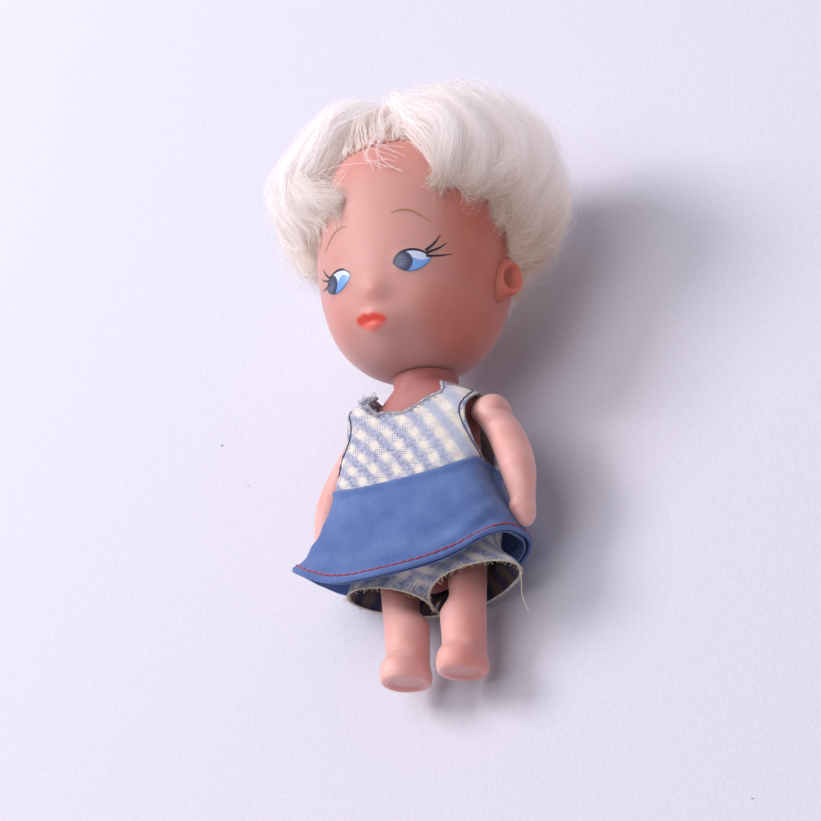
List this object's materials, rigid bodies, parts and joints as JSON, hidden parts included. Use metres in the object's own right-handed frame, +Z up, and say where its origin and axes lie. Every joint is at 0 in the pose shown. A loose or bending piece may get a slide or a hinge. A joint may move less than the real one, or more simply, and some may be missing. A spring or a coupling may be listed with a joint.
{
  "type": "miniature play doll",
  "caption": "Miniature vinyl play doll lying on its back, with a turning head, swinging plugged arms and legs, rooted pale hair, a checked and blue sleeveless dress and bloomers.",
  "frame": {"origin": "bottom centre of the whole doll's box, as it lies on its back", "axes": "+Y from the feet to the head along the table, +Z up out of the face, +X to the doll's left"},
  "size_m": [0.044, 0.0886, 0.0356],
  "materials": {
    "skin_vinyl": "satin",
    "torso_plastic": "satin",
    "hair_fibre": "satin",
    "gingham_cotton": "matte",
    "blue_cotton": "matte",
    "edging_cotton": "matte",
    "cream_edging": "matte",
    "snap_metal": "satin",
    "elastic": "matte"
  },
  "bodies": {
    "torso": {"torso_shell": "torso_plastic", "bodice_front": "gingham_cotton", "bodice_back_left": "gingham_cotton", "bodice_back_right": "gingham_cotton", "skirt_band_front": "blue_cotton", "skirt_band_back_left": "blue_cotton", "skirt_band_back_right": "blue_cotton", "skirt_hem_fold": "blue_cotton", "neckline_edging": "edging_cotton", "back_placket": "gingham_cotton", "snap_socket": "snap_metal", "snap_stud": "snap_metal", "waist_elastic": "elastic", "left_armhole_edging": "edging_cotton", "bloomers_left_panel": "gingham_cotton", "bloomers_left_edging": "cream_edging", "right_armhole_edging": "edging_cotton", "bloomers_right_panel": "gingham_cotton", "bloomers_right_edging": "cream_edging"},
    "head": {"head_shell": "skin_vinyl", "hair_front_right": "hair_fibre", "hair_front_left": "hair_fibre", "hair_hairline": "hair_fibre", "hair_side_right": "hair_fibre", "hair_side_left": "hair_fibre", "hair_back_left": "hair_fibre", "hair_back_right": "hair_fibre", "hair_crown": "hair_fibre"},
    "left_arm": {"left_arm": "skin_vinyl"},
    "right_arm": {"right_arm": "skin_vinyl"},
    "left_leg": {"left_leg": "skin_vinyl"},
    "right_leg": {"right_leg": "skin_vinyl"}
  },
  "joints": [
    {"name": "neck_turn", "type": "hinge", "parent": "torso", "child": "head", "pos_m": [-0.00049, -0.00126, 0.01388], "axis": [0, 0.9795, 0.2013], "continuous": true},
    {"name": "left_shoulder", "type": "hinge", "parent": "torso", "child": "left_arm", "pos_m": [0.007, -0.00752, 0.01259], "axis": [-1, 0, 0], "range_deg": [-25, 150]},
    {"name": "right_shoulder", "type": "hinge", "parent": "torso", "child": "right_arm", "pos_m": [-0.008, -0.00752, 0.01259], "axis": [-1, 0, 0], "range_deg": [-25, 150]},
    {"name": "left_hip", "type": "hinge", "parent": "torso", "child": "left_leg", "pos_m": [0.0025, -0.02672, 0.00864], "axis": [-1, 0, 0], "range_deg": [-5, 35], "deforming": ["bloomers_left_panel", "bloomers_left_edging"]},
    {"name": "right_hip", "type": "hinge", "parent": "torso", "child": "right_leg", "pos_m": [-0.00349, -0.02672, 0.00864], "axis": [-1, 0, 0], "range_deg": [-5, 35], "deforming": ["bloomers_right_panel", "bloomers_right_edging"]}
  ]
}
